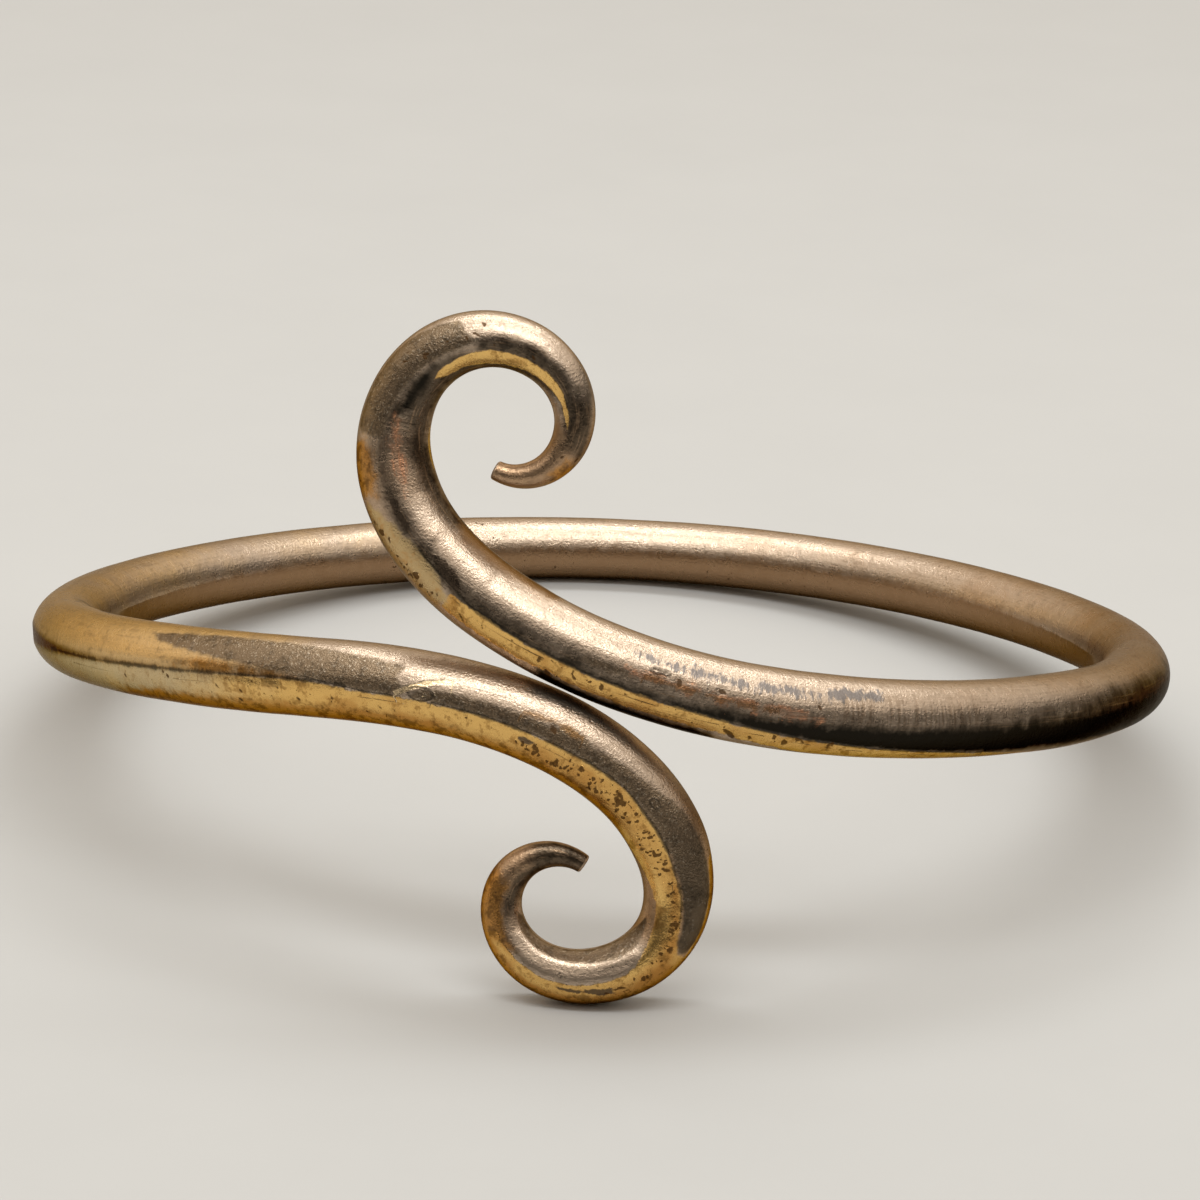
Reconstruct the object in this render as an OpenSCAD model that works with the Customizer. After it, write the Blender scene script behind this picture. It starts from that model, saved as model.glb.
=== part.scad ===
// Torque bangle: one round rod, bent into an open hoop.
// The rod's two ends pass each other at the front, and each one tapers and curls into a scroll.
// The rod's line is drawn flat, as u along the hoop and z up, and is then wrapped round the wrist's cylinder.
// Sizes are in millimetres. Front is -Y, and the bangle lies on its back and on its lower scroll.

/* [Hoop] */
// Radius of the hoop, from the wrist's axis to the middle of the rod
hoop_r = 34; // [33:0.5:36]
// Thickness of the rod at the back of the hoop
rod_back = 4.2; // [3.4:0.1:4.8]
// Rise of the back of the hoop above its two sides
back_rise = 1.8; // [0:0.1:3]
// Distance along the hoop from the middle of the front to the place where an arm starts
arm_reach = 53.5; // [53.5:0.1:55]

/* [Arms] */
// Bends of the upper arm, which starts at the right, rises across the front and ends in the upper scroll
// A row for each place: mm along the rod, degrees turned per mm
upper_bends = [
    [0, 0],
    [20, 0.1],
    [35, 0.4],
    [50, 1.3],
    [58, 1.6],
    [63, 3.7],
    [70, 8],
    [83, 11.3],
    [94.1, 20.3]
]; // the turns set the shape together, so they change together

// Bends of the lower arm, which starts at the left, drops across the front and ends in the lower scroll
// A row for each place: mm along the rod, degrees turned per mm
lower_bends = [
    [0, -0.6],
    [10, 0],
    [35, 0],
    [44, 1.5],
    [55, 3.3],
    [62, 6],
    [68, 12.5],
    [73, 8.5],
    [83, 19],
    [87.4, 19]
]; // the turns set the shape together, so they change together

// Taper of both arms: mm back from the cut end, thickness of the rod
taper = [
    [0, 1.1],
    [5, 2.2],
    [11, 3],
    [19, 3.7],
    [25, 4.5],
    [33, 4.7],
    [58, 4.7],
    [80, 4.4]
]; // thickness from 0.8 to 4.8 in each row

// Length of the bevel round each cut end
tip_bevel = 0.15; // [0.05:0.01:0.3]

/* [Lie] */
// Angle at which the hoop lies on the surface, its front held up by the lower scroll
lay_tilt = 13.1; // [0:0.1:20]
// Angle by which the hoop's right side lies lower than its left
lay_roll = -0.7; // [-5:0.1:5]

/* [Mesh] */
// Sides of the rod
rod_sides = 24; // [16:2:28]
// Rings of points along each arm
arm_rings = 84; // [60:1:100]
// Rings of points along the rest of the hoop
hoop_rings = 44; // [30:1:60]

/* [Hidden] */
bronze = [0.55, 0.42, 0.28];
crowding = 1.5;

// Length of rod in an arm
function arm_length(bends) = bends[len(bends) - 1][0];

// Place of ring i along an arm: the rings stand closer together towards the tip
function ring_place(bends, i) = arm_length(bends) * (1 - pow(max(0, 1 - i / arm_rings), crowding));

// Flat plan of an arm, a row for each ring: u, z, heading, thickness
function arm_plan(bends) =
    [for (
        i = 0, s = 0, ds = 0, turn = 0, u = arm_reach, z = 0, heading = 180;
        i <= arm_rings;
        ds = ring_place(bends, i + 1) - s,
        turn = ds * lookup(s + ds / 2, bends),
        u = u + ds * cos(heading - turn / 2),
        z = z + ds * sin(heading - turn / 2),
        heading = heading - turn,
        s = s + ds,
        i = i + 1
    ) [u, z, heading, lookup(arm_length(bends) - s, taper)]];

// Flat plan of the hoop, from the left side round the back to the right side
function hoop_plan() =
    let (
        round = 2 * PI * hoop_r,
        half = round / 2 - arm_reach,
        rod_side = taper[len(taper) - 1][1]
    )
    [for (i = [1:hoop_rings - 1])
        let (
            part = 1 - 2 * i / hoop_rings,
            slope = atan(back_rise * PI / 2 / half * sin(180 * part))
        )
        [
            round / 2 + half * part,
            back_rise * (1 + cos(180 * part)) / 2,
            180 - slope,
            rod_back + (rod_side - rod_back) * abs(part)
        ]];

// The same plan run the other way, and turned half a turn about the middle of the front
function opposite(plan) =
    [for (i = [len(plan) - 1:-1:0]) [-plan[i][0], -plan[i][1], plan[i][2], plan[i][3]]];

// The cut end: a last ring, moved on by the bevel's length and made smaller by it all round
function cut_end(row, way) =
    [
        row[0] + way * tip_bevel * cos(row[2]),
        row[1] + way * tip_bevel * sin(row[2]),
        row[2],
        row[3] - 2 * tip_bevel
    ];

// A ring of points round the rod, where the flat plan is wrapped on the hoop's cylinder
function ring(row) =
    let (
        angle = row[0] / hoop_r * 180 / PI,
        out = [sin(angle), -cos(angle), 0],
        along = [cos(row[2]) * cos(angle), cos(row[2]) * sin(angle), sin(row[2])],
        side = cross(along, out),
        middle = hoop_r * out + [0, 0, row[1]]
    )
    [for (k = [0:rod_sides - 1])
        let (a = 360 * k / rod_sides)
        middle + row[3] / 2 * (cos(a) * out + sin(a) * side)];

// A point after the hoop is tilted and rolled to the way it lies
function laid(p) =
    let (
        y = p.y * cos(lay_tilt) + p.z * sin(lay_tilt),
        z = p.z * cos(lay_tilt) - p.y * sin(lay_tilt)
    )
    [p.x * cos(lay_roll) + z * sin(lay_roll), y, z * cos(lay_roll) - p.x * sin(lay_roll)];

module bangle() {
    upper = arm_plan(upper_bends);
    lower = opposite(arm_plan(lower_bends));
    plan = concat(
        [cut_end(lower[0], -1)],
        lower,
        hoop_plan(),
        upper,
        [cut_end(upper[len(upper) - 1], 1)]
    );
    points = [for (row = plan) for (p = ring(row)) laid(p)];
    xs = [for (p = points) p.x];
    ys = [for (p = points) p.y];
    zs = [for (p = points) p.z];
    rings = len(plan);
    skin = [for (r = [0:rings - 2]) for (k = [0:rod_sides - 1])
        let (next = (k + 1) % rod_sides, a = r * rod_sides, b = a + rod_sides)
        each [[a + k, b + k, a + next], [a + next, b + k, b + next]]];
    first_end = [for (k = [0:rod_sides - 1]) k];
    last_end = [for (k = [rod_sides - 1:-1:0]) (rings - 1) * rod_sides + k];
    color(bronze)
    translate([-(min(xs) + max(xs)) / 2, -(min(ys) + max(ys)) / 2, -min(zs)])
    polyhedron(points = points, faces = concat([first_end, last_end], skin));
}

bangle();
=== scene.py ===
"""Torque bangle: one round bronze rod bent into a hoop, its two ends curled into scrolls."""
import math
import random

import bpy
import numpy as np
from mathutils import Matrix, Vector, noise


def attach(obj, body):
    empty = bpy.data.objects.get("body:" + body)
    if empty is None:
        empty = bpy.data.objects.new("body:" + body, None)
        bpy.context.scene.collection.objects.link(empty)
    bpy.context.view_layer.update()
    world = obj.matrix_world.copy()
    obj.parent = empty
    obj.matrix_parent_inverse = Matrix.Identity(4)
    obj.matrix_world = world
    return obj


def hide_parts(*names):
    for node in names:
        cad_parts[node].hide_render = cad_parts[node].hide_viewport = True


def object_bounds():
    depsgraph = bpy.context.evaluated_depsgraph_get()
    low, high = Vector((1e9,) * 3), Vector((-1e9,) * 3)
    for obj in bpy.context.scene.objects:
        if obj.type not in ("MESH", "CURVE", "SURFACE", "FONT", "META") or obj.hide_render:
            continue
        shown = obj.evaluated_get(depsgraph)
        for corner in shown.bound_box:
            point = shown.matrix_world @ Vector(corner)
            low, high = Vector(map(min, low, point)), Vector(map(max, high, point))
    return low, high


bl_info = {
    "name": "Torque bangle",
    "version": (1, 0, 0),
    "blender": (4, 5, 0),
    "location": "View3D > Sidebar > Bangle",
    "description": "Builds a bronze bangle with two scroll ends, its aged finish and its stage",
    "category": "Object",
}

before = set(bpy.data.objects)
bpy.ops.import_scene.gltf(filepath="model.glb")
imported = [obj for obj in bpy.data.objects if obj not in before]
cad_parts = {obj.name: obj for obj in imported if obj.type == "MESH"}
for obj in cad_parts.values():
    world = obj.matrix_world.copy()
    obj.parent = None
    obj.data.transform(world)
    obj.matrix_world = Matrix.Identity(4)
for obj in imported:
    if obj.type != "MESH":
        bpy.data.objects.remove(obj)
cad_low, cad_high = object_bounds()

MM = 0.001

# Bends of the arms, a row for each place: mm along the rod, degrees turned per mm
UPPER_BENDS = (
    (0, 0), (20, 0.1), (35, 0.4), (50, 1.3), (58, 1.6), (63, 3.7), (70, 8), (83, 11.3), (94.1, 20.3))
LOWER_BENDS = (
    (0, -0.6), (10, 0), (35, 0), (44, 1.5), (55, 3.3), (62, 6), (68, 12.5), (73, 8.5), (83, 19),
    (87.4, 19))
# Taper of both arms, a row for each place: mm back from the cut end, thickness in mm
TAPER = ((0, 1.1), (5, 2.2), (11, 3), (19, 3.7), (25, 4.5), (33, 4.7), (58, 4.7), (80, 4.4))
# Step in mm at which the rod's line is worked out, and the length over which its taper is smoothed
FINE_STEP = 0.05
TAPER_SMOOTHING = 3.0

# The stains and marks are charted: a place is mm along an arm and degrees round it, where
# 0 degrees faces out from the wrist and 90 degrees faces the side that is uppermost at the front.
# Closed outlines of the stains, and of the painted dark reflections, for each kind
STAINS = {
    # Dark brown tarnish along the upper arm. Where its first outline runs round the hoop's right end, it is
    # painted dark reflection that stands in for the dark surroundings the metal mirrors there
    "dark": (
        ("upper", (
            (-34, -50), (-24, -24), (-8, 4), (3, 8), (10, 6), (20, 1), (30, -3), (36, -5), (41, -6),
            (50, -9), (56, -8), (60.6, -4), (61, -16), (55, -22), (50, -26), (44, -34), (36, -48),
            (28, -54), (18, -54), (10, -60), (3, -70), (-24, -72))),
        ("upper", ((45.2, -54), (49, -50), (53, -46), (55.2, -40), (55.4, -78), (45, -82))),
        ("upper", (
            (72.9, 18), (73, 28), (73.2, 36), (74.6, 42), (75.6, 40), (76.2, 32), (77, 24), (77, 18))),
    ),
    # Brown tarnish on the upper scroll and the lower tip. The first outline, along the front of the upper
    # arm and round the hoop's right end, is partly tarnish and partly painted dark reflection of the dark
    # room in front
    "tarnish_and_dark_reflection": (
        ("upper", (
            (-38, -40), (-24, 4), (-8, 26), (3, 31), (10, 31), (20, 22), (30, 2), (42, -4), (50, -4),
            (56, 2), (62, 12), (66, 13), (70, 4), (66, -6), (61, -16), (50, -16), (20, -20), (-24, -36))),
        ("upper", (
            (70, 8), (75, 13), (79.2, 11), (79.8, -2), (80.6, -12), (83, -14), (86, -12), (86.6, -60),
            (89.6, -60), (89.4, -6), (89.4, 14), (87, 34), (84, 62), (80, 92), (60, 92), (64, 62),
            (68, 54), (71, 46), (73, 38), (73.6, 24))),
        ("lower", ((80, -20), (84, -14), (84.6, 70), (88, 80), (88, -80), (82, -70))),
    ),
    "seam": (
        ("lower", (
            (-22, 1), (-8, 9), (2, 16), (8, 14), (12, 9), (16, 4), (22, 1), (28, 3.5), (33, 5.5),
            (38, 6.5), (38, 4.5), (33, 2.5), (28, -0.5), (22, -5), (14, -13), (6, -18), (-8, -11))),
    ),
    "gold": (
        ("upper", (
            (26, -58), (30, -50), (35, -44), (40, -36), (43, -30), (46, -24), (50, -19), (55, -16),
            (60, -12), (61.3, -14), (61.3, -45), (58, -46), (55.3, -42), (52, -46), (48, -48), (45, -52),
            (42, -62), (38, -85), (24, -88), (22, -68))),
        ("upper", (
            (76.2, 44), (77, 52), (79.5, 55), (82, 50), (84, 42), (86, 32), (87.8, 22), (88.4, 12),
            (84, 14), (80.5, 19), (78, 27), (76.6, 37))),
        ("lower", (
            (4, -14), (15, -10), (25, -3), (33, 3), (38, 4), (42, -4), (54, -5), (58, -3), (60, -9),
            (64, -10), (65, -4), (66.5, 2), (68, 14), (68.6, 30), (68.4, 50), (64, 53), (63, 88),
            (80, 88), (79.5, 12), (77.5, 6), (75, 9), (72, 4), (70.6, -8), (69.6, -22), (68.6, -34),
            (66.5, -46), (64.5, -62), (60, -88), (20, -88), (8, -60))),
    ),
    # Painted dark reflection: a darker brown that stands in for darker surroundings mirrored by the inner
    # side of the hoop's back, towards its bottom, and by the top of the upper arm
    "dark_reflection": (
        ("lower", ((-14, 190), (-92, 190), (-84, 172), (-22, 172))),
        ("lower", ((-6, -190), (-100, -190), (-106, -150), (-90, -100), (-16, -100), (0, -150))),
        ("upper", ((56, 66), (60, 60), (63, 58), (64, 70), (64, 95), (56, 95))),
    ),
    "ochre": (
        ("upper", (
            (61.2, -24), (62, -9), (63, -2), (64.3, 0), (66, -8), (67.2, -22), (67.8, -42), (67.6, -52),
            (61.5, -52))),
    ),
    "amber": (
        ("upper", ((68, -16), (69, -8), (70.4, -12), (71, -28), (70.8, -60), (68.2, -60))),
        ("upper", ((89.8, -15), (91, -20), (91.2, -80), (89.9, -80))),
        ("lower", ((24, -42), (30, -34), (46, -34), (54, -42), (59, -54), (61, -80), (20, -80))),
        ("lower", ((29, 9), (31, 20), (34, 17), (38, 7), (36, 4), (33, 5))),
        ("lower", (
            (63, -14), (66, -4), (68, 12), (69, 30), (69, 50), (64, 56), (64, 88), (80, 88), (80, 30),
            (76, 34), (72, 34), (70.4, 22), (68.5, 4), (66, -20))),
        ("lower", ((79, 30), (78, -6), (82.4, -14), (82.8, 70), (80, 88))),
    ),
    "oxide": (
        ("lower", (
            (26, 55), (26.8, 45), (28.3, 37), (30.5, 29), (33.5, 21), (36.5, 13), (38.5, 7), (40.5, 1),
            (42.3, -3.5), (43.8, -2), (44.2, 5), (44, 25), (44.4, 42), (41, 52), (37, 62), (33, 66),
            (29, 62))),
        ("lower", (
            (44.8, -3), (50, -4), (54, -5), (58, -3), (60, -9), (64, -10), (65, -4), (66.5, 2), (68, 14),
            (68.5, 30), (68.3, 48), (67.6, 52), (64, 50), (61.5, 44), (59, 26), (55.2, 16), (54.8, 23),
            (54, 27), (53.2, 22), (52.8, 15), (49, 15), (46.6, 15), (45.2, 9))),
        ("lower", (
            (69.6, -40), (71, -32), (74, -38), (77, -42), (79, -50), (80.5, -60), (80, -85), (70, -88),
            (67.5, -62), (68.8, -48))),
        ("upper", (
            (71.2, 6), (75, 11), (78.5, 10), (79.6, 0), (79.3, -16), (79, -50), (76, -58), (71.4, -50))),
        ("upper", (
            (50.6, 3), (50.9, 8), (51.9, 10.5), (53, 8.5), (53.4, 3.5), (52.8, -2), (51.7, -4),
            (50.9, -1))),
    ),
    "char": (
        ("upper", (
            (60.9, -8), (61.1, 6), (61.8, 18), (62.9, 17), (63.6, 9), (62.7, 1), (61.9, -6), (61.4, -13))),
        ("upper", ((65.2, 3), (65.8, 12), (67.2, 12.5), (68.2, 7), (66.8, 0))),
        ("lower", ((51.2, -17), (52, -15.5), (52.8, -17), (52.4, -22), (51.4, -22))),
        ("lower", ((72.2, 33), (72.2, 20), (73.5, 16), (75.2, 19), (75, 24), (73.5, 25), (72.9, 34))),
    ),
    "haze": (
        ("upper", (
            (35.7, 36), (36, 45), (38, 47), (39.5, 42), (42, 40), (43.5, 39), (46, 41), (49, 39),
            (50.5, 36), (47, 31), (43.5, 28), (40, 30), (37.5, 32))),
    ),
    "copper": (
        ("upper", ((39.5, 0), (41.5, 7), (44, 9), (47, 12), (51, 13), (50, 8), (46, 4), (44, 0), (42, -2))),
        ("upper", ((67.4, 26), (68.4, 34), (70.4, 38), (72.2, 30), (72.6, 18), (70.6, 20))),
    ),
    "chatter": (
        ("upper", ((28.5, -8), (29, 28), (38, 28), (39, -4))),
        ("upper", ((70, 14), (71, 52), (76, 56), (77, 14))),
    ),
}

# Open lines drawn along the rod, for each kind: arm, half the line's width in mm, places
LINES = {
    "vein": (
        ("lower", 0.14, ((43.8, -2), (44.3, 4), (44.8, 12), (45.4, 20), (46.2, 27), (47, 31))),
    ),
    "groove": (
        ("lower", 0.11, ((14, -6), (22, -3.5), (28, 0), (33, 3), (37, 4.5), (41, 2))),
        ("lower", 0.07, ((38.5, 8), (40.5, 1.5), (42.3, -4), (44, -3.5))),
        ("lower", 0.09, (
            (46, -4), (50, -5), (54, -6), (58, -4), (60, -10), (64, -11), (65.3, -5), (67, 2))),
        ("upper", 0.08, (
            (28, -51), (35, -43), (40, -35), (46, -23), (50, -18), (60, -11), (61.5, -4), (63, 0),
            (64.4, 1))),
    ),
    "rust": (
        ("lower", 0.10, ((33, -4), (33.2, -20), (34.3, -22), (34.4, -6))),
        ("lower", 0.22, ((31, 9), (34, 9), (37, 6))),
        ("lower", 0.15, ((51, 20), (53, 23), (54.6, 21))),
        ("upper", 0.12, ((42, 3), (46, 6), (50, 9))),
    ),
}

# Ridges and hollows that the hammer left: arm, half width in mm, height in mm, places
HAMMERED = (
    ("upper", 0.62, -0.05, ((36, 43), (48, 42), (60, 41))),
    ("upper", 0.7, 0.05, ((64, 20), (70, 10), (75, 11), (79, 6), (81, -12), (86, -20))),
    ("lower", 0.5, 0.06, ((70, -28), (73, -34), (76, -38), (79, -44))),
    ("lower", 0.45, 0.035, ((60.5, -50), (64, -44), (67, -34), (69, -22), (70.6, -8), (72.2, 2))),
    ("lower", 0.9, -0.04, ((30, 40), (36, 36), (42, 34))),
    ("lower", 0.5, -0.07, ((2, -2), (10, -8), (16, -8), (22, -4), (28, 0), (33, 3), (37, 4))),
)

# Small ring-shaped marks: arm, mm along, degrees round, half length and half height in mm
RINGS = (
    ("lower", 45.4, 6, 0.75, 0.42),
    ("lower", 59.7, 12, 0.34, 0.26),
    ("upper", 49.3, 22, 0.28, 0.17),
    ("upper", 48.7, 23, 0.22, 0.14),
)

# Closed outlines of the places where the metal is pitted: arm, how thickly, places
PITTED = (
    ("lower", 1.0, (
        (51, -16), (57, -13), (61, -15), (64, -15), (65.6, -8), (66.8, 2), (68.2, 14), (70, 24),
        (71.6, 38), (73, 34), (71, 12), (69.2, 0), (67.6, -12), (66, -24), (64.5, -36), (62, -48),
        (57, -46), (51, -34))),
    ("lower", 0.3, ((24, -5), (33, 1), (38, 3), (42, -6), (51, -7), (51, -48), (36, -42), (24, -30))),
    ("lower", 0.3, ((46, -2), (50, -3), (58, -2), (60, 12), (54, 14), (47, 14))),
    ("lower", 0.35, ((71, 30), (78, 14), (83, 20), (83, -20), (79, -10), (78, 4), (73, 8), (70, 20))),
    ("upper", 1.0, ((61.8, -30), (64, -28), (67, -32), (67.4, -46), (62, -46))),
    ("upper", 0.4, ((36, -42), (46, -27), (50, -22), (61, -15), (61, -44), (46, -52), (38, -60))),
    ("upper", 0.3, ((34, -4), (48, -8), (61, -4), (61, 12), (50, 26), (48, 24), (36, 14))),
    ("upper", 0.2, ((68, -50), (72, 10), (80, 10), (92, 30), (92, -60))),
)

# How golden the satin metal is along each arm, from -1 for brown to 1 for gold
UPPER_TONE = (
    (0, -0.5), (10, -0.2), (22, -0.2), (36, 0.0), (60, 0.05), (68, -0.3), (79, 0.05), (86, 0.0),
    (89, -0.9), (95, -0.9))
LOWER_TONE = (
    (0, 0.5), (12, 1.0), (28, 1.0), (36, 0.5), (42, 0.0), (57, 0.0), (60, -0.2), (65, -1.0),
    (68, -1.1), (70, 0.0), (78, 0.0), (83, -0.9), (88, -0.9))
BACK_TONE = 0.0

# Radius in mm by which degrees round the rod become mm
ARC_RADIUS = 2.3
# How far a stain's depth is told, in mm, and how far the offset from a line is, in its half widths
STAIN_REACH = 2.0
LINE_REACH = 6.0
# Half the width of a ring's rim in mm
RIM = 0.06

# The side that isn't seen from the front: degrees at which it starts, and over which it comes in
UNSEEN_FROM, UNSEEN_FADE = 78.0, 22.0
# Its guessed stains: mm along an arm at which they start, and over which they come in
GUESSED_FROM, GUESSED_FADE = 2.0, 6.0
# The noise that makes them: which way it counts, and how high it has to rise
GUESSED = {"gold": (1, 0.35), "oxide": (-1, 0.3), "dark": (-1, 0.55)}
# How thickly that side is pitted
UNSEEN_PITS = 0.35

# Size in mm of the rod's lumps and ripples, and of the large and small guessed stains
LUMP, RIPPLE, LARGE_PATCH, SMALL_PATCH = 7.0, 2.2, 4.6, 1.8
# Share of the ripples in the waviness and in the hammer's marks, and of the small patches in the stains
WAVY_RIPPLES, HAMMERED_RIPPLES, SMALL_SHARE = 0.35, 0.3, 0.5
NOISE_SHIFT = (17.3, 5.1, 9.7)
# Where the edge of a hammer's mark starts, in its half widths
HAMMERED_EDGE = 1.3
# Softness in mm of a pitted place's edge, and how far up that soft step its outline lies
PITTED_EDGE, PITTED_START = 0.5, 0.6
# Pits cut into the mesh: seed of their places, number on a square mm, and in mm the least radius, what the
# largest radius has more, and the depth
PIT_SEED, PIT_CROWD, PIT_RADIUS, PIT_SPREAD, PIT_DEPTH = 7, 1.8, 0.11, 0.13, 0.09
# How far from a pit's middle its points are sought, and where its edge starts, in its radii
PIT_REACH, PIT_EDGE = 4, 1.4
# Least and most of a pit's stretch round the rod, of its lean, and of its share of the full depth
PIT_STRETCH, PIT_LEAN, PIT_SHARE = (0.9, 2.0), (-0.7, 0.7), (0.3, 1.0)
# Stains that stand higher or lower than the metal: rise, and width of their edge, in mm
STAIN_RISE = {"oxide": (0.008, 0.5), "gold": (-0.012, 0.3)}
# Radius in mm under which the rod's relief gets fainter
FULL_RELIEF = 2.0
# Number of rings in the bevel of a cut end, and size of the rings on its flat face
BEVEL_RINGS = 4
FACE_RINGS = (0.66, 0.33)
# How dense the brushing is on the cut ends, and how much of their stains is rubbed off
CUT_BRUSHING = 3.0
BARE_CUT = 0.35

# Edge of each kind of stain: raggedness and softness in mm, and the stain's strength
STAIN_EDGES = {
    "dark": (0.22, 0.45, 1.0),
    "tarnish_and_dark_reflection": (0.4, 0.6, 0.94),
    "seam": (0.06, 0.3, 0.9),
    "gold": (0.16, 0.08, 1.0),
    "dark_reflection": (0.3, 0.5, 0.9),
    "ochre": (0.22, 0.2, 1.0),
    "amber": (0.3, 0.4, 0.9),
    "oxide": (0.13, 0.16, 1.0),
    "char": (0.2, 0.06, 0.9),
    "haze": (0.55, 0.16, 0.85),
    "copper": (0.45, 0.3, 1.0),
    "chatter": (0.3, 1.2, 1.0),
}
# Stains with teeth or drips that run round the rod: how fine they are along it, and in the two ways across
EDGE_GRAIN = {"tarnish_and_dark_reflection": (0.8, 0.22, 0.22), "haze": (2.4, 0.9, 0.9)}
# Edge of each kind of line, in the same way
LINE_EDGES = {
    "vein": (0.03, 0.03, 0.95),
    "groove": (0.06, 0.05, 0.75),
    "rust": (0.12, 0.06, 0.55),
    "rim": (0.05, 0.04, 0.6),
}
# Roughness and graininess of the satin metal, and of the stains that change them, the lowest first
SATIN_ROUGHNESS, SATIN_GRAIN = 0.29, 1.6
STAIN_ROUGHNESS = {"gold": 0.27, "dark": 0.3, "oxide": 0.32, "haze": 0.5}
STAIN_GRAIN = {"oxide": 2.0, "gold": 0.9, "haze": 1.2}

# Direction of the warm wall, behind on the left, and where the wall and the sky come in
WALL_WAY = (-0.5, 0.85, 0.15)
WALL_FADE = (0.25, 0.6)
SKY_FADE = (0.24, 0.56)


def colour_property(name, description, rgb):
    """A colour that the panel shows."""
    return bpy.props.FloatVectorProperty(
        name=name, description=description, default=rgb, min=0.0, max=1.0, size=3, subtype="COLOR")


def length_property(name, description, value, low, high):
    """A length that the panel shows, given in mm."""
    return bpy.props.FloatProperty(
        name=name, description=description, default=value * MM, min=low * MM, max=high * MM, unit="LENGTH")


def angle_property(name, description, degrees):
    """An angle that the panel shows, given in degrees."""
    return bpy.props.FloatProperty(
        name=name, description=description, default=math.radians(degrees), subtype="ANGLE")


class BangleSizes(bpy.types.PropertyGroup):
    """Sizes of the bent rod"""

    hoop_radius: length_property("Hoop radius", "From the wrist's axis to the rod's middle", 34, 33, 36)
    rod_back: length_property("Rod at the back", "The rod's thickness at the back", 4.2, 3.4, 4.8)
    back_rise: length_property("Back rise", "Rise of the hoop's back above its two sides", 1.8, 0, 3)
    arm_reach: length_property(
        "Arm reach", "From the middle of the front to an arm's start, along the hoop", 53.5, 53.5, 55)
    tip_bevel: length_property("Tip bevel", "Length of the bevel round each cut end", 0.15, 0.05, 0.3)
    waviness: length_property("Waviness", "Depth of the hand-worked unevenness of the rod", 0.035, 0, 0.1)
    ring_step: length_property("Ring step", "Distance between the mesh's rings", 0.215, 0.2, 1)
    lay_tilt: angle_property(
        "Tilt", "Angle at which the hoop lies, its front held up by the lower scroll", 13.1)
    lay_roll: angle_property("Roll", "Angle by which the hoop's right side lies lower than its left", -0.7)
    sides: bpy.props.IntProperty(
        name="Sides", description="Points in each ring of the mesh", default=68, min=16, max=68)


class BangleColours(bpy.types.PropertyGroup):
    """Colours of the bronze and of its stains"""

    brown: colour_property("Brown", "Satin bronze that has gone brown", (0.46, 0.30, 0.18))
    taupe: colour_property("Taupe", "Satin bronze that has gone grey-brown", (0.56, 0.435, 0.325))
    gold_satin: colour_property("Golden satin", "Satin bronze that has stayed golden", (0.72, 0.49, 0.24))
    gold: colour_property("Gold", "Bronze rubbed bare", (0.85, 0.54, 0.18))
    straw: colour_property("Straw", "Bare bronze that has gone dull", (0.62, 0.50, 0.30))
    ochre: colour_property("Ochre", "Duller patch of bare bronze", (0.56, 0.40, 0.20))
    amber: colour_property("Amber", "Deeper orange bronze", (0.50, 0.235, 0.055))
    oxide: colour_property("Oxide", "Grey-brown oxide", (0.25, 0.18, 0.115))
    oxide_grain: colour_property("Oxide grain", "Paler grains in the oxide", (0.55, 0.45, 0.34))
    # Partly brown tarnish and partly painted dark reflection, where the front of the upper arm mirrors the
    # dark room
    tarnish_and_dark_reflection: colour_property("Tarnish", "Brown tarnish, thinner than the dark one", (0.095, 0.07, 0.047))
    # Dark brown tarnish, and painted dark reflection where the dark stain runs round the hoop's right end
    dark: colour_property("Dark", "Dark brown tarnish", (0.016, 0.0135, 0.010))
    char: colour_property("Charcoal", "Dark brown spots", (0.105, 0.075, 0.052))
    pit: colour_property("Pit", "Inside of the pits", (0.095, 0.045, 0.015))
    haze: colour_property("Haze", "Blue-grey dull film", (0.185, 0.168, 0.16))
    copper: colour_property("Copper", "Reddish tint of the copper", (0.86, 0.41, 0.22))
    vein: colour_property("Vein", "Pale veins and rims", (0.86, 0.66, 0.40))
    # Painted dark reflection: the darker brown that stands in for darker mirrored surroundings
    dark_reflection: colour_property("Umber", "Brown film on the inner side of the hoop", (0.27, 0.155, 0.075))
    edge: colour_property("Edge", "What the metal mirrors at grazing angles", (0.31, 0.26, 0.19))


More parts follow.
